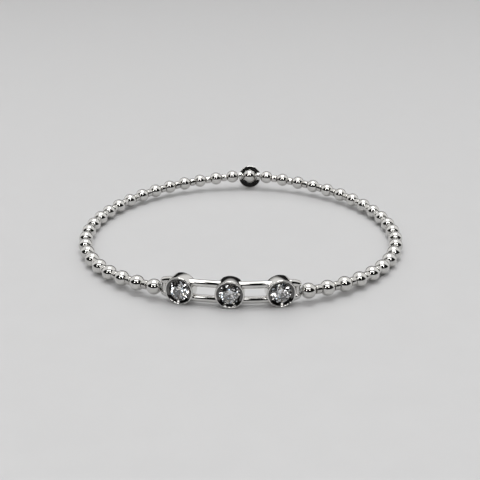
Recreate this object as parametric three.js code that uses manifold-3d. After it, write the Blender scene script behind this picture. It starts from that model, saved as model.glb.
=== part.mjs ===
// A stretch bracelet: a string of drilled round beads on an elastic, closed at the front by a soldered
// station of two rails with three stones in round bezels, and at the back by a plain round tag.
// It lies on its side on a surface, as it does by itself. Millimetres, +Z up, stones towards -Y.

import * as THREE from 'three';
import Module from 'manifold-3d';
import { ConvexGeometry } from 'three/addons/geometries/ConvexGeometry.js';
import { mergeVertices } from 'three/addons/utils/BufferGeometryUtils.js';

const wasm = await Module();
wasm.setup();

// ---- Driving dimensions ----------------------------------------------------------------------

// The string: an easy oval that lies low at its sides and rises to the tag and to the station.
const RING_R = 29.75;
const RING_OVAL = 0.003;
const RING_EGG = 0.0067;
const END_RISE = 1.24;
const BACK_EASE = 2.4;
const FRONT_EASE = 3.8;
const TAG_RISE_SPREAD = THREE.MathUtils.degToRad(12);
const BEAD_COUNT = 45;
const BEAD_STEP = THREE.MathUtils.degToRad(6.995);
const TAG_EASE = THREE.MathUtils.degToRad(0.3);

// A bead, and the elastic with the spacer ring between two beads.
const BEAD_R = 1.35;
const BORE_R = 0.45;
const BEAD_SIDES = 12;
const BEAD_BANDS = 6;
const ELASTIC_R = 0.27;
const SPACER_R = 0.78;
const SPACER_LENGTH = 0.86;
const SPACER_SIDES = 10;

// The station: two round-ended rails on an arc flatter than the string, with a short bar between them
// just inside each end.
const STATION_ARC_R = 36;
const RIM_Y = -30.05;
const RAIL_BEHIND_RIM = 1.2;
const RAIL_R = 0.625;
const RAIL_HALF_SPACING = 1.375;
const RAIL_BEND_S = 9.9;
const RAIL_BEND_DEPTH = 0.3;
const RAIL_END_S = 11.3;
const RAIL_SIDES = 8;
const RAIL_SPANS = 20;
const RAIL_STEP = 0.05;
const RAIL_END_STEPS = 3;
const END_BAR_R = 0.5;
const END_BAR_S = 11.25;
const CORD_HOLE_R = 0.4;

// A bezel, measured back from the plane of its rim.
const BEZEL_R = 2.475;
const BEZEL_DEPTH = 2.4;
const BEZEL_SPACING_S = 8.35;
const BEZEL_SIDES = 24;
const BEZEL_CHAMFER = 0.08;
const RIM_INNER_R = 2.2;
const LIP_R = 1.76;
const LIP_DEPTH = 0.3;
const SEAT_R = 1.92;
const SEAT_TOP = 0.38;
const SEAT_BOTTOM = 0.63;
const BACK_HOLE_R = 1.1;
const BACK_HOLE_TOP = 1.34;

// A round brilliant-cut stone.
const STONE_R = 1.8;
const GIRDLE_DEPTH = 0.52;
const GIRDLE_HALF = 0.04;
const TABLE_R = 1.0;
const STAR_TIP_R = 1.36;
const PAVILION_TIP_R = 0.41;
const CROWN_SLOPE = Math.tan(THREE.MathUtils.degToRad(34.5));
const PAVILION_SLOPE = Math.tan(THREE.MathUtils.degToRad(40.75));
const STONE_FOLD = 8;

// The tag: a plain disc on two drilled lugs, one at each side of the middle bead. It stands on its
// lower edge under the string, with its outer face leaning down.
const TAG_R = 2.45;
const TAG_THICKNESS = 0.5;
const TAG_CHAMFER = 0.06;
const TAG_STANDOFF = 1.55;
const TAG_LEAN = THREE.MathUtils.degToRad(25);
const TAG_SIDES = 28;
const LUG_R = 0.85;
const LUG_THICKNESS = 0.6;
const LUG_X = 2;
const LUG_HOLE_R = 0.55;
const LUG_SIDES = 12;

// The thin washer between the middle bead and each lug.
const WASHER_R = 0.62;
const WASHER_X = 1.38;
const WASHER_THICKNESS = 0.22;

// ---- Sizes that follow -------------------------------------------------------------------------

const STATION_Z = BEZEL_R;
const SIDE_Z = BEAD_R;
const TAG_EDGE_OUT = TAG_STANDOFF + TAG_THICKNESS - TAG_CHAMFER;
const BACK_Z = TAG_R * Math.cos(TAG_LEAN) + TAG_EDGE_OUT * Math.sin(TAG_LEAN);
const TAG_RISE = BACK_Z - SIDE_Z - END_RISE;
const RAIL_ARC_Y = RIM_Y + RAIL_BEHIND_RIM + STATION_ARC_R;
const MIDDLE_BEAD = (BEAD_COUNT + 1) / 2;
const UP = new THREE.Vector3(0, 0, 1);

// ---- Materials ---------------------------------------------------------------------------------

const whiteGold = new THREE.MeshStandardMaterial({ color: 0xd8d6d0, metalness: 1, roughness: 0.14 });
const brightRim = new THREE.MeshStandardMaterial({ color: 0xe2e0da, metalness: 1, roughness: 0.1 });
const clearStone = new THREE.MeshStandardMaterial({ color: 0xf2f6fb, metalness: 0, roughness: 0.02 });
const paleElastic = new THREE.MeshStandardMaterial({ color: 0xb9b7b2, metalness: 0, roughness: 0.6 });

// ---- Shared geometry helpers -------------------------------------------------------------------

// Merges the shared vertices of a closed shape and drops the triangles that close to nothing.
function weld(geometry) {
  const bare = geometry.clone();
  bare.deleteAttribute('normal');
  bare.deleteAttribute('uv');
  const merged = mergeVertices(bare, 1e-4);
  const corners = merged.index.array;
  const kept = [];
  for (let i = 0; i < corners.length; i += 3) {
    const [a, b, c] = corners.slice(i, i + 3);
    if (a !== b && b !== c && c !== a) kept.push(a, b, c);
  }
  merged.setIndex(kept);
  return merged;
}

function toSolid(geometry) {
  const welded = weld(geometry);
  return new wasm.Manifold(new wasm.Mesh({
    numProp: 3,
    vertProperties: Float32Array.from(welded.attributes.position.array),
    triVerts: Uint32Array.from(welded.index.array),
  }));
}

function toGeometry(solid) {
  const { vertProperties, triVerts } = solid.getMesh();
  const geometry = new THREE.BufferGeometry();
  geometry.setAttribute('position', new THREE.BufferAttribute(vertProperties, 3));
  geometry.setIndex(new THREE.BufferAttribute(triVerts, 1));
  return geometry;
}

// A turned shape about +Y. The profile is [radius, height] pairs with its outside running upwards.
function turned(profile, sides) {
  return new THREE.LatheGeometry(profile.map(([r, y]) => new THREE.Vector2(r, y)), sides);
}

// A ring of points round a centre: across is measured level, and rise square to it and to the axis.
function ringOfPoints(centre, axis, level, acrossR, riseR, sides) {
  const rise = new THREE.Vector3().crossVectors(axis, level).normalize();
  return Array.from({ length: sides }, (unused, k) => {
    const turn = (2 * Math.PI * k) / sides;
    return centre.clone()
      .addScaledVector(level, acrossR * Math.cos(turn))
      .addScaledVector(rise, riseR * Math.sin(turn));
  });
}

// A solid skinned over a run of rings of points, with a flat cap at each end.
function skinned(rings) {
  const sides = rings[0].length;
  const index = [];
  for (let i = 0; i < rings.length - 1; i += 1) {
    const here = i * sides;
    const there = here + sides;
    for (let k = 0; k < sides; k += 1) {
      const next = (k + 1) % sides;
      index.push(here + k, here + next, there + next);
      index.push(here + k, there + next, there + k);
    }
  }
  const end = (rings.length - 1) * sides;
  for (let k = 1; k < sides - 1; k += 1) {
    index.push(0, k + 1, k);
    index.push(end, end + k, end + k + 1);
  }
  const geometry = new THREE.BufferGeometry().setFromPoints(rings.flat());
  geometry.setIndex(index);
  return geometry;
}

// The place that turns +Y to an axis, keeps +Z as upright as it can be, and moves the origin to a point.
function placeOn(axis, point) {
  const rise = UP.clone().addScaledVector(axis, -UP.dot(axis)).normalize();
  const level = new THREE.Vector3().crossVectors(axis, rise);
  return new THREE.Matrix4().makeBasis(level, axis, rise).setPosition(point);
}

function part(name, geometry, material, place = new THREE.Matrix4()) {
  const mesh = new THREE.Mesh(geometry, material);
  mesh.name = name;
  mesh.applyMatrix4(place);
  return mesh;
}

// ---- The line of the string --------------------------------------------------------------------

// Turn 0 is the middle of the back, and it grows clockwise seen from above.
function onString(turn) {
  const radius = RING_R * (1 + RING_OVAL * Math.cos(2 * turn) + RING_EGG * Math.cos(3 * turn));
  const isBack = Math.cos(turn) > 0;
  const rise = END_RISE * Math.abs(Math.cos(turn)) ** (isBack ? BACK_EASE : FRONT_EASE);
  const tagRise = isBack ? TAG_RISE * Math.exp(-((turn / TAG_RISE_SPREAD) ** 2)) : 0;
  return new THREE.Vector3(radius * Math.sin(turn), radius * Math.cos(turn), SIDE_Z + rise + tagRise);
}

function beadCentre(number) {
  const fromMiddle = number - MIDDLE_BEAD;
  return onString(fromMiddle * BEAD_STEP + Math.sign(fromMiddle) * TAG_EASE);
}

// ---- The line of the station -------------------------------------------------------------------

function stationOutward(s) {
  const turn = s / STATION_ARC_R;
  return new THREE.Vector3(Math.sin(turn), -Math.cos(turn), 0);
}

// A point of the rails' own curved plane: s runs along it to +X and rise is above its middle.
function onStation(s, rise) {
  const point = stationOutward(s).multiplyScalar(STATION_ARC_R);
  return point.add(new THREE.Vector3(0, RAIL_ARC_Y, STATION_Z + rise));
}

const cordEnds = [onStation(-END_BAR_S, 0), onStation(END_BAR_S, 0)];
const stops = [cordEnds[0]];
for (let number = 1; number <= BEAD_COUNT; number += 1) stops.push(beadCentre(number));
stops.push(cordEnds[1]);

function beadAxis(number) {
  return new THREE.Vector3().subVectors(stops[number + 1], stops[number - 1]).normalize();
}

// ---- Beads -------------------------------------------------------------------------------------

function bead(number) {
  const boreAngle = Math.asin(BORE_R / BEAD_R);
  const profile = [];
  for (let band = 0; band <= BEAD_BANDS; band += 1) {
    const angle = Math.PI - boreAngle - (band / BEAD_BANDS) * (Math.PI - 2 * boreAngle);
    profile.push([BEAD_R * Math.sin(angle), BEAD_R * Math.cos(angle)]);
  }
  profile.push(profile[0]);
  const name = `bead_${String(number).padStart(2, '0')}`;
  const place = placeOn(beadAxis(number), beadCentre(number));
  return part(name, weld(turned(profile, BEAD_SIDES)), whiteGold, place);
}

// ---- Elastic with its spacer rings -------------------------------------------------------------

function cordRing(centre, axis, radius) {
  const level = new THREE.Vector3().crossVectors(UP, axis).normalize();
  return ringOfPoints(centre, axis, level, radius, radius, SPACER_SIDES);
}

// Where the ring in a gap lies: a spacer in its middle, or beside a lug of the tag a washer that is
// next to the middle bead.
function ringInGap(gap) {
  const length = stops[gap].distanceTo(stops[gap + 1]);
  const washerEnd = WASHER_X + WASHER_THICKNESS;
  if (gap === MIDDLE_BEAD) return { from: WASHER_X, to: washerEnd, radius: WASHER_R };
  if (gap === MIDDLE_BEAD - 1) return { from: length - washerEnd, to: length - WASHER_X, radius: WASHER_R };
  return { from: (length - SPACER_LENGTH) / 2, to: (length + SPACER_LENGTH) / 2, radius: SPACER_R };
}

function gapRings(gap) {
  const axis = new THREE.Vector3().subVectors(stops[gap + 1], stops[gap]).normalize();
  const { from, to, radius } = ringInGap(gap);
  const start = stops[gap].clone().addScaledVector(axis, from);
  const end = stops[gap].clone().addScaledVector(axis, to);
  return [
    cordRing(start, axis, ELASTIC_R),
    cordRing(start, axis, radius),
    cordRing(end, axis, radius),
    cordRing(end, axis, ELASTIC_R),
  ];
}

// The elastic turns to the station beside each end bead, and runs straight through it.
function endBeadRings(number) {
  const axis = beadAxis(number);
  const halfBore = Math.sqrt(BEAD_R ** 2 - BORE_R ** 2);
  return [-halfBore, halfBore].map((along) => (
    cordRing(stops[number].clone().addScaledVector(axis, along), axis, ELASTIC_R)
  ));
}

function elasticCore() {
  const first = new THREE.Vector3().subVectors(stops[1], stops[0]).normalize();
  const last = new THREE.Vector3().subVectors(stops[BEAD_COUNT + 1], stops[BEAD_COUNT]).normalize();
  const rings = [cordRing(stops[0], first, ELASTIC_R), ...endBeadRings(1)];
  for (let gap = 1; gap < BEAD_COUNT; gap += 1) rings.push(...gapRings(gap));
  rings.push(...endBeadRings(BEAD_COUNT), cordRing(stops[BEAD_COUNT + 1], last, ELASTIC_R));
  return part('elastic_core', skinned(rings), paleElastic);
}

// ---- Station: rails, end bars and bezels -------------------------------------------------------

// A point of a rail's centreline, the top rail's for side 1 and the bottom's for -1. Near its ends a
// rail leans towards the other one.
function onRail(s, side) {
  const bend = Math.max(0, (Math.abs(s) - RAIL_BEND_S) / (RAIL_END_S - RAIL_BEND_S));
  return onStation(s, side * (RAIL_HALF_SPACING - RAIL_BEND_DEPTH * bend ** 2));
}

// A rail is a round rod with half a ball at each end, bent to the station's arc.
function rail(side) {
  const stations = [];
  for (let span = 0; span <= RAIL_SPANS; span += 1) {
    stations.push([RAIL_END_S * ((2 * span) / RAIL_SPANS - 1), RAIL_R]);
  }
  for (let step = 1; step <= RAIL_END_STEPS; step += 1) {
    const turn = (step / (RAIL_END_STEPS + 0.3)) * (Math.PI / 2);
    const s = RAIL_END_S + RAIL_R * Math.sin(turn);
    const radius = RAIL_R * Math.cos(turn);
    stations.push([s, radius]);
    stations.unshift([-s, radius]);
  }
  return skinned(stations.map(([s, radius]) => {
    const along = onRail(s + RAIL_STEP, side).sub(onRail(s - RAIL_STEP, side)).normalize();
    return ringOfPoints(onRail(s, side), along, stationOutward(s), radius, radius, RAIL_SIDES);
  }));
}

function endBar(s) {
  return skinned([-1, 1].map((side) => (
    ringOfPoints(onRail(s, side), UP, stationOutward(s), END_BAR_R, END_BAR_R, RAIL_SIDES)
  )));
}

function placedBezel(profile, s, sides) {
  const rimCentre = onStation(s, 0).addScaledVector(stationOutward(s), RAIL_BEHIND_RIM);
  return turned(profile, sides).applyMatrix4(placeOn(stationOutward(s), rimCentre));
}

const bezelBody = [
  [0, -BEZEL_DEPTH],
  [BEZEL_R - BEZEL_CHAMFER, -BEZEL_DEPTH],
  [BEZEL_R, BEZEL_CHAMFER - BEZEL_DEPTH],
  [BEZEL_R, -BEZEL_CHAMFER],
  [BEZEL_R - BEZEL_CHAMFER, 0],
  [0, 0],
];

const bezelSeat = [
  [0, -BEZEL_DEPTH - 1],
  [BACK_HOLE_R, -BEZEL_DEPTH - 1],
  [BACK_HOLE_R, -BACK_HOLE_TOP],
  [SEAT_R, -SEAT_BOTTOM],
  [SEAT_R, -SEAT_TOP],
  [LIP_R, -LIP_DEPTH],
  [RIM_INNER_R, 0],
  [RIM_INNER_R, 1],
  [0, 1],
];

// The hole across an end bar that takes the end of the elastic.
function cordHole(barCentre, nearestBead) {
  const outward = new THREE.Vector3().subVectors(nearestBead, barCentre).normalize();
  const hole = new THREE.CylinderGeometry(CORD_HOLE_R, CORD_HOLE_R, 4 * END_BAR_R, SPACER_SIDES);
  return hole.applyMatrix4(placeOn(outward, barCentre));
}

const bezelPlaces = [['left', -BEZEL_SPACING_S], ['centre', 0], ['right', BEZEL_SPACING_S]];

function stationFrame() {
  let frame = toSolid(rail(1)).add(toSolid(rail(-1)));
  for (const s of [-END_BAR_S, END_BAR_S]) frame = frame.add(toSolid(endBar(s)));
  for (const [, s] of bezelPlaces) frame = frame.add(toSolid(placedBezel(bezelBody, s, BEZEL_SIDES)));
  for (const [, s] of bezelPlaces) frame = frame.subtract(toSolid(placedBezel(bezelSeat, s, BEZEL_SIDES)));
  frame = frame.subtract(toSolid(cordHole(cordEnds[0], stops[1])));
  frame = frame.subtract(toSolid(cordHole(cordEnds[1], stops[BEAD_COUNT])));
  return part('station_frame', toGeometry(frame), brightRim);
}

// ---- Stones ------------------------------------------------------------------------------------

// The corners of a round brilliant, with the table facing +Y and the girdle's middle at the origin.
function brilliantCorners() {
  const corners = [];
  const half = Math.PI / STONE_FOLD;
  const ring = (radius, height, offset, count) => {
    for (let k = 0; k < count; k += 1) {
      const turn = offset + (2 * Math.PI * k) / count;
      corners.push(new THREE.Vector3(radius * Math.sin(turn), height, radius * Math.cos(turn)));
    }
  };
  const crown = (radius) => GIRDLE_HALF + (STONE_R - radius) * CROWN_SLOPE;
  const pavilion = (radius) => -GIRDLE_HALF - (STONE_R - radius) * PAVILION_SLOPE;
  ring(TABLE_R, crown(TABLE_R), 0, STONE_FOLD);
  ring(STAR_TIP_R, crown(STAR_TIP_R * Math.cos(half)), half, STONE_FOLD);
  ring(STONE_R, GIRDLE_HALF, 0, 2 * STONE_FOLD);
  ring(STONE_R, -GIRDLE_HALF, 0, 2 * STONE_FOLD);
  ring(PAVILION_TIP_R, pavilion(PAVILION_TIP_R * Math.cos(half)), half, STONE_FOLD);
  corners.push(new THREE.Vector3(0, pavilion(0), 0));
  return corners;
}

function stone(name, s) {
  const outward = stationOutward(s);
  const girdle = onStation(s, 0).addScaledVector(outward, RAIL_BEHIND_RIM - GIRDLE_DEPTH);
  const cut = weld(new ConvexGeometry(brilliantCorners()));
  return part(`stone_${name}`, cut, clearStone, placeOn(outward, girdle));
}

// ---- Tag ---------------------------------------------------------------------------------------

function lug(x) {
  const reach = TAG_STANDOFF + TAG_THICKNESS / 2;
  const outline = new THREE.Shape();
  outline.moveTo(reach, -LUG_R);
  outline.lineTo(reach, LUG_R);
  outline.lineTo(0, LUG_R);
  outline.absarc(0, 0, LUG_R, Math.PI / 2, (3 * Math.PI) / 2, false);
  outline.holes.push(new THREE.Path().absarc(0, 0, LUG_HOLE_R, 0, 2 * Math.PI, true));
  const plate = new THREE.ExtrudeGeometry(outline, {
    depth: LUG_THICKNESS, bevelEnabled: false, curveSegments: LUG_SIDES / 2,
  });
  const axes = [new THREE.Vector3(0, 1, 0), new THREE.Vector3(0, 0, 1), new THREE.Vector3(1, 0, 0)];
  plate.applyMatrix4(new THREE.Matrix4().makeBasis(...axes));
  return plate.translate(x - LUG_THICKNESS / 2, 0, 0);
}

function tag() {
  const disc = turned([
    [0, TAG_STANDOFF],
    [TAG_R - TAG_CHAMFER, TAG_STANDOFF],
    [TAG_R, TAG_STANDOFF + TAG_CHAMFER],
    [TAG_R, TAG_STANDOFF + TAG_THICKNESS - TAG_CHAMFER],
    [TAG_R - TAG_CHAMFER, TAG_STANDOFF + TAG_THICKNESS],
    [0, TAG_STANDOFF + TAG_THICKNESS],
  ], TAG_SIDES);
  const whole = toSolid(disc).add(toSolid(lug(-LUG_X))).add(toSolid(lug(LUG_X)));
  const place = new THREE.Matrix4().makeRotationX(-TAG_LEAN).setPosition(beadCentre(MIDDLE_BEAD));
  return part('tag', toGeometry(whole), whiteGold, place);
}

// ---- The bracelet ------------------------------------------------------------------------------

const string = new THREE.Group();
for (let number = 1; number <= BEAD_COUNT; number += 1) string.add(bead(number));
string.add(elasticCore(), tag());

const station = new THREE.Group();
station.add(stationFrame());
for (const [name, s] of bezelPlaces) station.add(stone(name, s));

const bracelet = new THREE.Group();
bracelet.add(string, station);

// The origin is the middle of the underside of the whole bracelet.
const extent = new THREE.Box3().setFromObject(bracelet, true);
const middle = extent.getCenter(new THREE.Vector3());
bracelet.position.set(-middle.x, -middle.y, -extent.min.z);

export default bracelet;
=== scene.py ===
import math

import bmesh
import bpy
from mathutils import Matrix, Vector


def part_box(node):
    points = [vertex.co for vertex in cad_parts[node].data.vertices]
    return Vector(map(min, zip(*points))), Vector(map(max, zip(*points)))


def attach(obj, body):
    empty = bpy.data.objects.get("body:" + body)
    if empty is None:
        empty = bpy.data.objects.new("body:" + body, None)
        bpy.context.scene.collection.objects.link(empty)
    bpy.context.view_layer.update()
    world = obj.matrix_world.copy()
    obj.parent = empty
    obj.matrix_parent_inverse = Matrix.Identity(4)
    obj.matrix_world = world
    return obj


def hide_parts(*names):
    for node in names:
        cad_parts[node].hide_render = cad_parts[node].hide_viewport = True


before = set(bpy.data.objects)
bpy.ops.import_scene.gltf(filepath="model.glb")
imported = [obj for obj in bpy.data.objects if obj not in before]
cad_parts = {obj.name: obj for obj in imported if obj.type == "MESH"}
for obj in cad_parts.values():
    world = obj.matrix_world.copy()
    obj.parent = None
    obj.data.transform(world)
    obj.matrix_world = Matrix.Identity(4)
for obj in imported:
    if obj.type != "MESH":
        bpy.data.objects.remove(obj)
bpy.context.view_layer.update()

# ---- Sizes, in metres ---------------------------------------------------------------------------

MM = 0.001
MERGE = 0.0005 * MM
FULL_TURN = 2 * math.pi
ROUND_STEPS = 5
CREASE_DEGREES = 30
BEAD_CREASE_DEGREES = 50

BEAD_R = 1.35 * MM
BORE_R = 0.45 * MM
BORE_EDGE = 0.06 * MM
BORE_EDGE_BULGE = 0.3 * BORE_EDGE
BEAD_STEPS = 56
BEAD_BANDS = 30

SPACER_R = 0.79 * MM
SPACER_BORE = 0.36 * MM
SPACER_HALF = 0.52 * MM
SPACER_ROUND = 0.16 * MM
SPACER_STEPS = 32
WASHER_R = 0.62 * MM
WASHER_X = 1.49 * MM
WASHER_HALF = 0.12 * MM
WASHER_ROUND = 0.08 * MM
THREAD_R = 0.27 * MM
THREAD_SIDES = 16

STATION_ARC_R = 36 * MM
RAIL_BEHIND_RIM = 1.2 * MM
RAIL_R = 0.625 * MM
RAIL_HALF_SPACING = 1.375 * MM
RAIL_BEND_S = 9.9 * MM
RAIL_BEND_DEPTH = 0.3 * MM
RAIL_END_S = 11.3 * MM
RAIL_SPANS = 60
RAIL_CAP_SPANS = 9
RAIL_SIDES = 36
RAIL_CAP_DEGREES = 86
RAIL_TANGENT_REACH = 0.05 * MM
END_BAR_R = 0.5 * MM
END_BAR_S = 11.25 * MM
CORD_HOLE_R = 0.4 * MM

BEZEL_R = 2.475 * MM
BEZEL_DEPTH = 2.4 * MM
BEZEL_EASE = 0.1 * MM
RIM_ROUND = 0.15 * MM
RIM_STEPS = 8
RIM_INNER_STEPS = 7
RIM_INNER_DEGREES = -60
BEZEL_SPACING_S = 8.35 * MM
BEZEL_STEPS = 96
# The ring inside each bezel that is painted dark: painted shade in the dish between rim and stone.
PAINTED_SHADE_R = 2.2 * MM
PAINTED_SHADE_TOP = 0.07 * MM
PAINTED_SHADE_FLOOR = 0.6 * MM
SEAT_OUTLINE = (
    # along from the rim's plane, out from the axis: the dish, the lip over the girdle, the seat
    (-0.16 * MM, 2.04 * MM),
    (-0.25 * MM, 1.84 * MM),
    (-0.29 * MM, 1.775 * MM),
    (-0.33 * MM, 1.77 * MM),
    (-0.38 * MM, 1.9 * MM),
    (-0.64 * MM, 1.9 * MM),
    (-1.34 * MM, 1.1 * MM),
)
BACK_HOLE_R = 1.1 * MM
BACK_HOLE_EDGE = 0.07 * MM
RAIL_GAP_R = 2.2 * MM
RAIL_GAP_FRONT = -0.3 * MM
RAIL_GAP_BACK = -2.2 * MM

STONE_R = 1.8 * MM
GIRDLE_DEPTH = 0.52 * MM
GIRDLE_HALF = 0.04 * MM
TABLE_R = 1.0 * MM
STAR_TIP_R = 1.36 * MM
PAVILION_TIP_R = 0.41 * MM
CROWN_SLOPE = math.tan(math.radians(34.5))
PAVILION_SLOPE = math.tan(math.radians(40.75))
STONE_FOLD = 8
BLANK_TOP = 1.2 * MM
BLANK_BOTTOM = -2.0 * MM

TAG_R = 2.45 * MM
TAG_THICKNESS = 0.5 * MM
TAG_ROUND = 0.12 * MM
TAG_STEPS = 72
TAG_STANDOFF = 1.55 * MM
TAG_LEAN = math.radians(25)
LUG_R = 0.85 * MM
LUG_THICKNESS = 0.6 * MM
LUG_X = 2.0 * MM
LUG_HOLE_R = 0.55 * MM
LUG_ROUND = 0.09 * MM
LUG_STEPS = 40
LUG_ROUND_SEGMENTS = 3
LUG_SHARP_TURN = FULL_TURN / 6

# ---- Places, from the frame ---------------------------------------------------------------------

UP = Vector((0, 0, 1))
ALONG_X = Matrix.Rotation(FULL_TURN / 4, 4, "Y")
BEADS = sorted(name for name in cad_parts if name.startswith("bead_"))
MIDDLE_BEAD = BEADS[len(BEADS) // 2]
STATION_LOW, STATION_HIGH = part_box("station_frame")
RIM_Y = STATION_LOW.y
STATION_Z = (STATION_LOW.z + STATION_HIGH.z) / 2
BEZELS = {"left": -BEZEL_SPACING_S, "centre": 0.0, "right": BEZEL_SPACING_S}


def middle_of(node):
    low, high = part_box(node)
    return (low + high) / 2


def station_outward(s):
    turn = s / STATION_ARC_R
    return Vector((math.sin(turn), -math.cos(turn), 0))


def on_station(s, rise=0.0, ahead=0.0):
    """A point by the rails' curved plane: s runs to +X, rise is up, ahead is out to the stones."""
    arc_centre = Vector((0, RIM_Y + RAIL_BEHIND_RIM + STATION_ARC_R, STATION_Z + rise))
    return arc_centre + station_outward(s) * (STATION_ARC_R + ahead)


def laid(along, origin, upright=UP):
    """The place that lays +X along a direction and turns +Z as near to upright as it can be."""
    along = along.normalized()
    rise = (upright - along * upright.dot(along)).normalized()
    axes = Matrix((along, rise.cross(along), rise)).transposed()
    return Matrix.Translation(origin) @ axes.to_4x4()


STOPS = [on_station(-END_BAR_S)] + [middle_of(name) for name in BEADS] + [on_station(END_BAR_S)]

# ---- Node materials -----------------------------------------------------------------------------

# The sockets of a Mix node that take and give a colour.
MIX_COLOUR_A = 6
MIX_COLOUR_B = 7
MIX_COLOUR_OUT = 2
HAIRLINES = (
    # grain, and the turn of the noise that they are drawn from
    (0.2 * MM, (0.3, 1.1, 0.2)),
    (0.28 * MM, (1.4, 0.2, 0.9)),
)
HAIRLINE_DRAW = (1, 1, 0.06)
HAIRLINE_RAMP = ((0.495, 0.0), (0.51, 1.0), (0.525, 0.0))
HAIRLINE_DEPTH = 0.4
HAIRLINE_ROUGHNESS = 0.12
CLOUD_GRAIN = 1.6 * MM
CLOUD_RAMP = ((0.3, 0.0), (0.7, 1.0))
CLOUD_ROUGHNESS = 0.03
RIPPLE_GRAIN = 0.5 * MM
RIPPLE_DEPTH = 0.0006 * MM
WEAR_GRAIN = 2.4 * MM
WEAR_FROM = 0.45
WEAR_TO = 0.62
# Painted fire: blue and warm patches painted into the stones' colour in place of dispersed light.
PAINTED_FIRE_GRAIN = 0.42 * MM
PAINTED_FIRE_RAMP = (
    # position, and a blue, two clear and a warm colour of the painted fire
    (0.31, (0.40, 0.66, 1.0)),
    (0.39, (1.0, 1.0, 1.0)),
    (0.62, (1.0, 1.0, 1.0)),
    (0.69, (1.0, 0.82, 0.58)),
)
DIAMOND_IOR = 2.42
BRAID_GRAIN = 0.12 * MM
BRAID_DEPTH = 0.02 * MM
FLOOR_GRAIN = 6 * MM


class Value:
    """One output socket of a node tree. Arithmetic on it adds Math nodes."""

    def __init__(self, nodes, socket):
        self.nodes = nodes
        self.socket = socket

    def maths(self, operation, first, second):
        return self.nodes.node("ShaderNodeMath", {0: first, 1: second}, operation=operation)

    def __add__(self, other):
        return self.maths("ADD", self, other)

    def __radd__(self, other):
        return self.maths("ADD", other, self)

    def __sub__(self, other):
        return self.maths("SUBTRACT", self, other)

    def __mul__(self, other):
        return self.maths("MULTIPLY", self, other)


class Nodes:
    """A node tree, and the one way that nodes are added to it."""

    def __init__(self, tree):
        self.tree = tree

    def node(self, kind, inputs, output=0, stops=(), **settings):
        """A node of a kind: its settings and ramp stops first, then its sockets, set or linked."""
        made = self.tree.nodes.new(kind)
        for name, setting in settings.items():
            setattr(made, name, setting)
        if stops:
            elements = made.color_ramp.elements
            while len(elements) < len(stops):
                elements.new(1.0)
            for element, (position, colour) in zip(elements, stops):
                element.position = position
                element.color = (*colour, 1)
        for socket, value in inputs.items():
            if isinstance(value, Value):
                self.tree.links.new(value.socket, made.inputs[socket])
            else:
                made.inputs[socket].default_value = value
        return Value(self, made.outputs[output])

    def ramp(self, factor, *stops):
        """The factor carried through a ramp of (position, colour) stops."""
        return self.node("ShaderNodeValToRGB", {"Fac": factor}, stops=stops)

    def curve(self, factor, *stops):
        """The factor carried through a ramp of (position, grey) stops."""
        return self.ramp(factor, *[(position, (grey, grey, grey)) for position, grey in stops])


class Finish(Nodes):
    """A material whose nodes feed one Principled shader, by the piece's own Object coordinates."""

    def __init__(self, name, **shader_values):
        self.material = bpy.data.materials.new(name)
        self.material.use_nodes = True
        super().__init__(self.material.node_tree)
        self.shader = self.tree.nodes["Principled BSDF"]
        for socket, value in shader_values.items():
            self.shader.inputs[socket.replace("_", " ")].default_value = value
        self.place = self.node("ShaderNodeTexCoord", {}, output="Object")

    def noise(self, size, detail=2.0, drawn_out=(1, 1, 1), turn=(0, 0, 0)):
        """Noise with grains of a size in metres; a low drawn_out stretches it along that axis."""
        mapping = {"Vector": self.place, "Scale": drawn_out, "Rotation": turn}
        place = self.node("ShaderNodeMapping", mapping)
        grains = {"Vector": place, "Scale": 1 / size, "Detail": detail}
        return self.node("ShaderNodeTexNoise", grains)

    def tint(self, factor, low, high):
        """The mix of two colours by a factor."""
        colours = {"Factor": factor, MIX_COLOUR_A: (*low, 1), MIX_COLOUR_B: (*high, 1)}
        return self.node("ShaderNodeMix", colours, output=MIX_COLOUR_OUT, data_type="RGBA")

    def bumped(self, height, depth):
        return self.node("ShaderNodeBump", {"Height": height, "Distance": depth})

    def fed(self, **sockets):
        for socket, value in sockets.items():
            self.tree.links.new(value.socket, self.shader.inputs[socket.replace("_", " ")])
        return self.material


def hairlines(finish, size, turn):
    """Polishing hairlines: where noise drawn out in one direction crosses its middle value."""
    streaks = finish.noise(size, detail=1.0, drawn_out=HAIRLINE_DRAW, turn=turn)
    return finish.curve(streaks, *HAIRLINE_RAMP)


def white_gold(name, pale, deep, polish, wear):
    """Polished white gold: a mirror with soft clouding, the mop's faint ripple and hairlines."""
    finish = Finish(name, Metallic=1.0)
    clouds = finish.noise(CLOUD_GRAIN, detail=3.0)
    ripple = finish.noise(RIPPLE_GRAIN)
    one_way, other_way = [hairlines(finish, grain, turn) for grain, turn in HAIRLINES]
    worn = finish.curve(finish.noise(WEAR_GRAIN), (WEAR_FROM, 0.0), (WEAR_TO, wear))
    scratched = (one_way + other_way) * worn
    return finish.fed(
        Base_Color=finish.tint(finish.curve(clouds, *CLOUD_RAMP), deep, pale),
        Roughness=polish + clouds * CLOUD_ROUGHNESS + scratched * HAIRLINE_ROUGHNESS,
        Normal=finish.bumped(ripple - scratched * HAIRLINE_DEPTH, RIPPLE_DEPTH),
    )


def cut_stone(name):
    """A clear stone, with painted fire: blue and warm patches painted into its colour."""
    finish = Finish(name, Roughness=0.0, IOR=DIAMOND_IOR, Transmission_Weight=1.0)
    painted_fire = finish.noise(PAINTED_FIRE_GRAIN, detail=1.0)
    return finish.fed(Base_Color=finish.ramp(painted_fire, *PAINTED_FIRE_RAMP))


def woven_elastic(name):
    """A pale elastic with a fine matt braid."""
    finish = Finish(name)
    braid = finish.noise(BRAID_GRAIN)
    return finish.fed(
        Base_Color=finish.tint(braid, (0.42, 0.42, 0.41), (0.62, 0.62, 0.60)),
        Roughness=0.5 + braid * 0.2,
        Normal=finish.bumped(braid, BRAID_DEPTH),
    )


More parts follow.
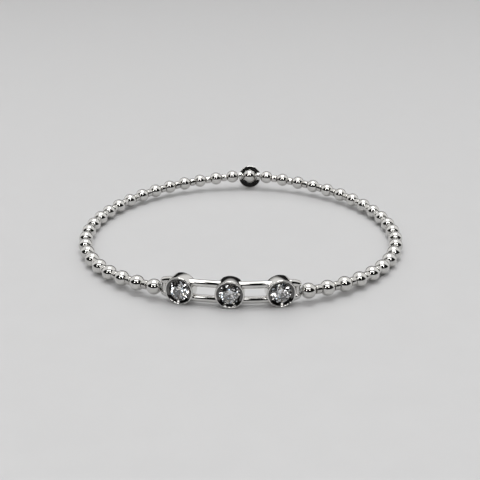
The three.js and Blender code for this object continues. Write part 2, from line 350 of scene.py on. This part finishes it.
def pale_floor(name):
    """A pale matt board with a faint grain."""
    finish = Finish(name)
    grain = finish.noise(FLOOR_GRAIN, detail=4.0)
    return finish.fed(
        Base_Color=finish.tint(grain, (0.56, 0.56, 0.565), (0.59, 0.59, 0.595)),
        Roughness=0.4 + grain * 0.15,
    )


BEAD_GOLD = white_gold(
    "bead white gold", (0.68, 0.672, 0.655), (0.62, 0.612, 0.592), polish=0.03, wear=0.8)
SPACER_GOLD = white_gold(
    "spacer white gold", (0.62, 0.612, 0.592), (0.56, 0.55, 0.53), polish=0.08, wear=0.8)
BEZEL_GOLD = white_gold(
    "bezel white gold", (0.70, 0.692, 0.675), (0.64, 0.632, 0.612), polish=0.03, wear=0.7)
# The recess gold is painted nearly black: painted shade in the dish between rim and stone.
RECESS_PAINTED_SHADE_GOLD = white_gold(
    "bezel recess painted shade white gold", (0.17, 0.167, 0.162), (0.11, 0.108, 0.105), polish=0.10, wear=0.5)
TAG_GOLD = white_gold(
    "tag white gold", (0.68, 0.672, 0.655), (0.62, 0.612, 0.592), polish=0.05, wear=1.0)
CLEAR_STONE = cut_stone("clear stone")
PALE_ELASTIC = woven_elastic("pale elastic")

# ---- Making pieces ------------------------------------------------------------------------------


def arc(centre, radius, start, end, steps):
    """Points of an arc as (along, out) pairs of a turned outline; angles in degrees from +along."""
    angles = [math.radians(start + (end - start) * step / steps) for step in range(steps + 1)]
    return [(centre[0] + radius * math.cos(a), centre[1] + radius * math.sin(a)) for a in angles]


def turned(outline, steps):
    """A body turned about +X from (along, out) pairs that end on the axis or close on the first."""
    body = bmesh.new()
    corners = [body.verts.new((along, 0, out)) for along, out in outline]
    edges = [body.edges.new(pair) for pair in zip(corners, corners[1:])]
    if outline[0][1] > 0:
        edges.append(body.edges.new((corners[-1], corners[0])))
    bmesh.ops.spin(
        body, geom=corners + edges, cent=(0, 0, 0), axis=(1, 0, 0), dvec=(0, 0, 0),
        angle=FULL_TURN, steps=steps, use_merge=True, use_duplicate=False)
    bmesh.ops.remove_doubles(body, verts=body.verts, dist=MERGE)
    bmesh.ops.recalc_face_normals(body, faces=body.faces)
    return body


def swept(places, radii, sides):
    """A round bar through rings, each square to the +X of its place."""
    body = bmesh.new()
    rings = []
    for place, radius in zip(places, radii):
        ring = bmesh.ops.create_circle(body, segments=sides, radius=radius, matrix=place @ ALONG_X)
        rings.append(list({edge for corner in ring["verts"] for edge in corner.link_edges}))
    for here, there in zip(rings, rings[1:]):
        bmesh.ops.bridge_loops(body, edges=here + there)
    bmesh.ops.holes_fill(body, edges=rings[0] + rings[-1])
    bmesh.ops.recalc_face_normals(body, faces=body.faces)
    return body


def put(body, place):
    """The body itself, moved to a place."""
    bmesh.ops.transform(body, matrix=place, verts=body.verts)
    return body


def as_mesh(name, *bodies):
    """One mesh that holds each body, and the bodies are freed."""
    whole = bmesh.new()
    for body in bodies:
        part = bpy.data.meshes.new(name)
        body.to_mesh(part)
        body.free()
        whole.from_mesh(part)
        bpy.data.meshes.remove(part)
    mesh = bpy.data.meshes.new(name)
    whole.to_mesh(mesh)
    whole.free()
    return mesh


def boolean(operation, name, base_body, tool_bodies):
    """The bodies united or cut exactly, as one mesh."""
    base = bpy.data.objects.new(name, as_mesh(name, base_body))
    bpy.context.scene.collection.objects.link(base)
    spare = [base]
    for body in tool_bodies:
        tool = bpy.data.objects.new(f"{name}_tool", as_mesh(f"{name}_tool", body))
        bpy.context.scene.collection.objects.link(tool)
        spare.append(tool)
        modifier = base.modifiers.new("step", "BOOLEAN")
        modifier.operation = operation
        modifier.solver = "EXACT"
        modifier.object = tool
    bpy.context.view_layer.update()
    made = bmesh.new()
    made.from_object(base, bpy.context.evaluated_depsgraph_get())
    for thing in spare:
        mesh = thing.data
        bpy.data.objects.remove(thing)
        bpy.data.meshes.remove(mesh)
    return made


def piece(name, mesh, material, slot, *nodes, crease=CREASE_DEGREES):
    """A finished piece that rides on the bracelet and stands for its CAD nodes."""
    made = bpy.data.objects.new(name, mesh)
    bpy.context.scene.collection.objects.link(made)
    mesh.materials.append(material)
    if crease:
        mesh.shade_smooth()
        mesh.set_sharp_from_angle(angle=math.radians(crease))
    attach(made, "root")
    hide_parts(*nodes)


# ---- Beads --------------------------------------------------------------------------------------


def bead_body():
    """A ball with a drilled bore whose edges are eased."""
    mouth_r = BORE_R + BORE_EDGE
    mouth = math.sqrt(BEAD_R ** 2 - mouth_r ** 2)
    start = math.degrees(math.asin(mouth_r / BEAD_R))
    ball = arc((0, 0), BEAD_R, start, 180 - start, BEAD_BANDS)
    eased, eased_r = mouth - BORE_EDGE_BULGE, BORE_R + BORE_EDGE_BULGE
    sunk = mouth - BORE_EDGE
    bore = [(-eased, eased_r), (-sunk, BORE_R), (sunk, BORE_R), (eased, eased_r)]
    return turned(ball + bore, BEAD_STEPS)


def make_beads():
    for number, node in enumerate(BEADS, start=1):
        place = laid(STOPS[number + 1] - STOPS[number - 1], STOPS[number])
        mesh = as_mesh(f"{node}_ball", put(bead_body(), place))
        piece(f"{node}_ball", mesh, BEAD_GOLD, "bead_white_gold", node, crease=BEAD_CREASE_DEGREES)


# ---- Spacers and elastic ------------------------------------------------------------------------


def ring_body(outer_r, half_length, edge):
    """A drilled ring with eased outer edges, its bore along +X."""
    shoulder = half_length - edge
    right = arc((shoulder, outer_r - edge), edge, 0, 90, ROUND_STEPS)
    left = arc((-shoulder, outer_r - edge), edge, 90, 180, ROUND_STEPS)
    bore = [(-half_length, SPACER_BORE), (half_length, SPACER_BORE)]
    return turned([bore[1], *right, *left, bore[0]], SPACER_STEPS)


def make_string():
    """The elastic, a spacer in each gap, and a washer where a lug of the tag takes up the gap."""
    middle = BEADS.index(MIDDLE_BEAD) + 1
    rings = []
    for gap in range(1, len(BEADS)):
        here, there = STOPS[gap], STOPS[gap + 1]
        if gap in (middle - 1, middle):
            from_bead, way = (here, there - here) if gap == middle else (there, here - there)
            washer = ring_body(WASHER_R, WASHER_HALF, WASHER_ROUND)
            rings.append(put(washer, laid(way, from_bead + way.normalized() * WASHER_X)))
        else:
            spacer = ring_body(SPACER_R, SPACER_HALF, SPACER_ROUND)
            rings.append(put(spacer, laid(there - here, (here + there) / 2)))
    mesh = as_mesh("spacer_rings", *rings)
    piece("spacer_rings", mesh, SPACER_GOLD, "spacer_white_gold", "elastic_core")

    ways = [after - before for before, after in zip(STOPS[:1] + STOPS, STOPS[1:] + STOPS[-1:])]
    places = [laid(way, stop) for way, stop in zip(ways, STOPS)]
    thread = swept(places, [THREAD_R] * len(places), THREAD_SIDES)
    mesh = as_mesh("elastic_thread", thread)
    piece("elastic_thread", mesh, PALE_ELASTIC, "spacer_white_gold", "elastic_core")


# ---- Station ------------------------------------------------------------------------------------


def rail_point(s, side):
    """A point of a rail's centreline: near its ends a rail leans towards the other one."""
    bend = max(0, (abs(s) - RAIL_BEND_S) / (RAIL_END_S - RAIL_BEND_S))
    return on_station(s, side * (RAIL_HALF_SPACING - RAIL_BEND_DEPTH * bend ** 2))


def rail_body(side):
    """The top rail for side 1 or the bottom for -1: a round rod with half a ball at each end."""
    run = [(RAIL_END_S * (2 * span / RAIL_SPANS - 1), RAIL_R) for span in range(RAIL_SPANS + 1)]
    for span in range(1, RAIL_CAP_SPANS + 1):
        turn = math.radians(RAIL_CAP_DEGREES * span / RAIL_CAP_SPANS)
        s, radius = RAIL_END_S + RAIL_R * math.sin(turn), RAIL_R * math.cos(turn)
        run = [(-s, radius), *run, (s, radius)]
    places = []
    for s, _ in run:
        beyond, before = s + RAIL_TANGENT_REACH, s - RAIL_TANGENT_REACH
        along = rail_point(beyond, side) - rail_point(before, side)
        places.append(laid(along, rail_point(s, side), station_outward(s)))
    return swept(places, [radius for _, radius in run], RAIL_SIDES)


def end_bar(s):
    """The short upright bar between the rails that the elastic is tied to."""
    ends = [rail_point(s, -1), rail_point(s, 1)]
    places = [laid(UP, end, station_outward(s)) for end in ends]
    return swept(places, [END_BAR_R] * len(places), THREAD_SIDES)


def bezel_body():
    """A bezel ring; 0 is the plane of its rim, and -X runs back to the wrist."""
    rim_middle = BEZEL_R - RIM_ROUND
    front = arc((-RIM_ROUND, rim_middle), RIM_ROUND, 0, 90, RIM_STEPS)
    back_centre = (BEZEL_EASE - BEZEL_DEPTH, BEZEL_R - BEZEL_EASE)
    back = arc(back_centre, BEZEL_EASE, 90, 180, ROUND_STEPS)
    hole = [
        (-BEZEL_DEPTH, BACK_HOLE_R + BACK_HOLE_EDGE),
        (BACK_HOLE_EDGE - BEZEL_DEPTH, BACK_HOLE_R)]
    inner = arc((-RIM_ROUND, rim_middle), RIM_ROUND, 0, RIM_INNER_DEGREES, RIM_INNER_STEPS)
    return turned([*front, *back, *hole, *reversed(SEAT_OUTLINE), *inner[:0:-1]], BEZEL_STEPS)


def rail_gap():
    """What is cut from the rails inside a bezel: they end within its wall, off its surfaces."""
    front = [(RAIL_GAP_FRONT, 0), (RAIL_GAP_FRONT, RAIL_GAP_R)]
    back = [(RAIL_GAP_BACK, RAIL_GAP_R), (RAIL_GAP_BACK, 0)]
    return turned(front + back, BEZEL_STEPS)


def cord_hole(bar_centre, nearest_bead):
    """What is cut for the elastic's end: right across an end bar, and on into the bezel's wall."""
    way = nearest_bead - bar_centre
    reach = way.normalized() * 2 * END_BAR_R
    ends = [laid(way, bar_centre - reach), laid(way, bar_centre + reach)]
    return swept(ends, [CORD_HOLE_R] * len(ends), THREAD_SIDES)


def in_painted_shade(point):
    """Whether a point, as seen from a bezel's rim, is in the ring that is painted dark as shade."""
    return -PAINTED_SHADE_FLOOR < point.x < -PAINTED_SHADE_TOP and math.hypot(point.y, point.z) < PAINTED_SHADE_R


def make_station():
    rims = [laid(station_outward(s), on_station(s, ahead=RAIL_BEHIND_RIM)) for s in BEZELS.values()]
    bars = [end_bar(-END_BAR_S), end_bar(END_BAR_S)]
    rails = boolean("UNION", "station", rail_body(1), [rail_body(-1), *bars])
    parted = boolean("DIFFERENCE", "station", rails, [put(rail_gap(), rim) for rim in rims])
    soldered = boolean("UNION", "station", parted, [put(bezel_body(), rim) for rim in rims])
    holes = [cord_hole(STOPS[0], STOPS[1]), cord_hole(STOPS[-1], STOPS[-2])]
    drilled = boolean("DIFFERENCE", "station", soldered, holes)
    mesh = as_mesh("station_rails_and_bezels", drilled)
    piece("station_rails_and_bezels", mesh, BEZEL_GOLD, "bezel_white_gold", "station_frame")
    # Faces in the bezels' recesses take the nearly black gold: painted shade.
    mesh.materials.append(RECESS_PAINTED_SHADE_GOLD)
    to_rims = [rim.inverted() for rim in rims]
    for face in mesh.polygons:
        is_painted_shade = any(in_painted_shade(to_rim @ face.center) for to_rim in to_rims)
        face.material_index = 1 if is_painted_shade else 0


# ---- Stones -------------------------------------------------------------------------------------


def crown_height(radius):
    return GIRDLE_HALF + (STONE_R - radius) * CROWN_SLOPE


def pavilion_height(radius):
    return -GIRDLE_HALF - (STONE_R - radius) * PAVILION_SLOPE


def facet_planes():
    """Three corners of each facet of a round brilliant whose table faces +X."""
    half = math.pi / STONE_FOLD

    def corner(radius, turn, height):
        return Vector((height, radius * math.sin(turn), radius * math.cos(turn)))

    table = crown_height(TABLE_R)
    star_height = crown_height(STAR_TIP_R * math.cos(half))
    low_height = pavilion_height(PAVILION_TIP_R * math.cos(half))
    culet = Vector((pavilion_height(0), 0, 0))
    planes = [[corner(TABLE_R, turn, table) for turn in (0, 2, 4)]]
    for fold in range(STONE_FOLD):
        turn = 2 * half * fold
        table_corner = corner(TABLE_R, turn, table)
        stars = [corner(STAR_TIP_R, turn + side * half, star_height) for side in (-1, 1)]
        lows = [corner(PAVILION_TIP_R, turn + side * half, low_height) for side in (-1, 1)]
        planes.append([table_corner, corner(TABLE_R, turn + 2 * half, table), stars[1]])
        planes.append([table_corner, *stars])
        planes.append([culet, *lows])
        for side in (0, 1):
            edge_turn = turn + (half if side else -half)
            for height, tip in ((GIRDLE_HALF, stars[side]), (-GIRDLE_HALF, lows[side])):
                girdle = [corner(STONE_R, around, height) for around in (turn, edge_turn)]
                planes.append([tip, *girdle])
    return planes


def stone_body():
    """A round blank, cut by one plane for each facet as a cutter would grind it."""
    blank = [(BLANK_TOP, 0), (BLANK_TOP, STONE_R), (BLANK_BOTTOM, STONE_R), (BLANK_BOTTOM, 0)]
    stone = turned(blank, BEZEL_STEPS)
    for a, b, c in facet_planes():
        normal = (b - a).cross(c - a).normalized()
        outward = normal if normal.dot(a) > 0 else -normal
        cut = bmesh.ops.bisect_plane(
            stone, geom=[*stone.verts, *stone.edges, *stone.faces], dist=MERGE,
            plane_co=a, plane_no=outward, clear_outer=True)
        rim = [part for part in cut["geom_cut"] if isinstance(part, bmesh.types.BMEdge)]
        bmesh.ops.edgenet_fill(stone, edges=rim)
    bmesh.ops.remove_doubles(stone, verts=stone.verts, dist=2 * MERGE)
    bmesh.ops.recalc_face_normals(stone, faces=stone.faces)
    return stone


def make_stones():
    for name, s in BEZELS.items():
        girdle = laid(station_outward(s), on_station(s, ahead=RAIL_BEHIND_RIM - GIRDLE_DEPTH))
        mesh = as_mesh(f"stone_{name}_cut", put(stone_body(), girdle))
        piece(f"stone_{name}_cut", mesh, CLEAR_STONE, "clear_stone", f"stone_{name}", crease=0)


# ---- Tag ----------------------------------------------------------------------------------------


def disc_body():
    """The tag's disc behind the middle bead, with its axis along +X."""
    low, high = TAG_STANDOFF, TAG_STANDOFF + TAG_THICKNESS
    inner = arc((low + TAG_ROUND, TAG_R - TAG_ROUND), TAG_ROUND, 180, 90, ROUND_STEPS)
    outer = arc((high - TAG_ROUND, TAG_R - TAG_ROUND), TAG_ROUND, 90, 0, ROUND_STEPS)
    return turned([(low, 0), *inner, *outer, (high, 0)], TAG_STEPS)


def lug_body(side):
    """A drilled plate with a round end at the middle bead, drawn out to the disc."""
    body = bmesh.new()
    loops = []
    for radius in (LUG_R, LUG_HOLE_R):
        ring = bmesh.ops.create_circle(body, segments=LUG_STEPS, radius=radius)
        loops.append(ring["verts"])
    disc_side = [corner for corner in loops[0] if corner.co.x > MERGE]
    reach = TAG_STANDOFF + TAG_THICKNESS / 2
    bmesh.ops.scale(body, vec=(0, 1, 1), verts=disc_side)
    bmesh.ops.translate(body, vec=(reach, 0, 0), verts=disc_side)
    rim = bmesh.ops.bridge_loops(body, edges=list(body.edges))
    raised = bmesh.ops.extrude_face_region(body, geom=rim["faces"])
    top = [part for part in raised["geom"] if isinstance(part, bmesh.types.BMVert)]
    bmesh.ops.translate(body, vec=(0, 0, LUG_THICKNESS), verts=top)
    bmesh.ops.recalc_face_normals(body, faces=body.faces)
    sharp = [edge for edge in body.edges if edge.calc_face_angle(0) > LUG_SHARP_TURN]
    bmesh.ops.bevel(
        body, geom=sharp, offset=LUG_ROUND, offset_type="OFFSET", affect="EDGES",
        segments=LUG_ROUND_SEGMENTS, profile=0.5, material=-1, clamp_overlap=True)
    bmesh.ops.translate(body, vec=(0, 0, side * LUG_X - LUG_THICKNESS / 2), verts=body.verts)
    return body


def make_tag():
    face_way = Vector((0, math.cos(TAG_LEAN), -math.sin(TAG_LEAN)))
    outward = laid(face_way, middle_of(MIDDLE_BEAD))
    across = outward @ Matrix(((1, 0, 0, 0), (0, 0, -1, 0), (0, 1, 0, 0), (0, 0, 0, 1)))
    lugs = [put(lug_body(side), across) for side in (-1, 1)]
    soldered = boolean("UNION", "tag_disc_and_lugs", put(disc_body(), outward), lugs)
    mesh = as_mesh("tag_disc_and_lugs", soldered)
    piece("tag_disc_and_lugs", mesh, TAG_GOLD, "tag_white_gold", "tag")


make_beads()
make_string()
make_station()
make_stones()
make_tag()

# ---- Floor, lights and camera -------------------------------------------------------------------

FLOOR_R = 10.0
FLOOR_STEPS = 96
CAMERA_SENSOR = 36
CAMERA_LENS = 70.58
CAMERA_DISTANCE = 0.1845
CAMERA_ELEVATION = math.radians(22.23)
CAMERA_AZIMUTH = math.radians(3.57)
CAMERA_SHIFT = (-0.00292, -0.00604)
CAMERA_CLIP = 0.01
SOFTBOX_PLACE = Vector((0, 0.05, 0.5))
SOFTBOX_SIZE = 0.3
SOFTBOX_WATTS = 1.0
OPENING_WAY = (0, -1, -0.6)
TENT_OPENING = ((0.34, 1.0), (0.41, 0.0))
TENT_WALL = ((0.36, 0.0), (0.50, 1.0))
TENT_SIDES = 0.7
TENT_GLOW = 0.9
TENT_DARK = 0.015
TENT_COLOUR = (1.0, 0.995, 0.985, 1)
LAMP_CORE = 0.8
TENT_LAMPS = (
    # bearing from the front, elevation, half width (all three in degrees), strength
    (-4, 54, 8, 6.0),
    (-34, 50, 7, 6.0),
    (28, 50, 7, 6.0),
    (22, 29, 4.5, 9.0),
    (-30, 27, 4.5, 9.0),
)


def make_floor():
    body = bmesh.new()
    bmesh.ops.create_circle(body, cap_ends=True, segments=FLOOR_STEPS, radius=FLOOR_R)
    floor = bpy.data.objects.new("floor", as_mesh("floor", body))
    bpy.context.scene.collection.objects.link(floor)
    floor.data.materials.append(pale_floor("pale floor"))


def make_softbox():
    """A square softbox overhead, aimed at the origin."""
    lamp = bpy.data.lights.new("overhead_softbox", "AREA")
    lamp.shape = "RECTANGLE"
    lamp.size = lamp.size_y = SOFTBOX_SIZE
    lamp.energy = SOFTBOX_WATTS
    made = bpy.data.objects.new("overhead_softbox", lamp)
    made.location = SOFTBOX_PLACE
    made.rotation_euler = SOFTBOX_PLACE.to_track_quat("Z", "Y").to_euler()
    bpy.context.scene.collection.objects.link(made)


def lifted(level_way, elevation):
    """A level direction, lifted by an elevation."""
    return level_way * math.cos(elevation) + UP * math.sin(elevation)


def make_tent():
    """A light tent: dim at the foot of its walls, open at the front, and with round lamps in it."""
    world = bpy.data.worlds.new("light tent")
    world.use_nodes = True
    nodes = Nodes(world.node_tree)
    way = nodes.node("ShaderNodeTexCoord", {}, output="Generated")
    height = nodes.node("ShaderNodeSeparateXYZ", {0: way}, output="Z")
    aside = nodes.node("ShaderNodeSeparateXYZ", {0: way}, output="X")

    def nearness_to(direction):
        """The cosine of the angle between each way out and one direction."""
        return nodes.node(
            "ShaderNodeVectorMath", {0: way, 1: direction}, output="Value", operation="DOT_PRODUCT")

    cover = nodes.curve(0.5 + nearness_to(OPENING_WAY) * 0.5, *TENT_OPENING)
    wall = nodes.curve(height + aside * aside * TENT_SIDES, *TENT_WALL)
    glow = TENT_DARK + wall * cover * TENT_GLOW
    for bearing, elevation, half_width, strength in TENT_LAMPS:
        level_way = Matrix.Rotation(math.radians(bearing), 3, "Z") @ Vector((0, -1, 0))
        nearness = nearness_to(lifted(level_way, math.radians(elevation)))
        edge = math.cos(math.radians(half_width))
        core = math.cos(math.radians(LAMP_CORE * half_width))
        disc = {"Value": nearness, "From Min": edge, "From Max": core}
        glow = glow + nodes.node("ShaderNodeMapRange", disc) * strength
    background = world.node_tree.nodes["Background"]
    world.node_tree.links.new(glow.socket, background.inputs["Strength"])
    background.inputs["Color"].default_value = TENT_COLOUR
    bpy.context.scene.world = world


def make_camera():
    """A camera that looks along its own back to the origin."""
    right = Vector((math.cos(CAMERA_AZIMUTH), math.sin(CAMERA_AZIMUTH), 0))
    level_back = Vector((math.sin(CAMERA_AZIMUTH), -math.cos(CAMERA_AZIMUTH), 0))
    back = lifted(level_back, CAMERA_ELEVATION)
    axes = Matrix((right, back.cross(right), back)).transposed()
    lens = bpy.data.cameras.new("camera")
    lens.lens = CAMERA_LENS
    lens.sensor_width = CAMERA_SENSOR
    lens.shift_x, lens.shift_y = CAMERA_SHIFT
    lens.clip_start = CAMERA_CLIP
    camera = bpy.data.objects.new("camera", lens)
    camera.matrix_world = Matrix.Translation(back * CAMERA_DISTANCE) @ axes.to_4x4()
    bpy.context.scene.collection.objects.link(camera)
    bpy.context.scene.camera = camera


make_floor()
make_softbox()
make_tent()
make_camera()
bpy.context.scene.view_settings.view_transform = "Standard"
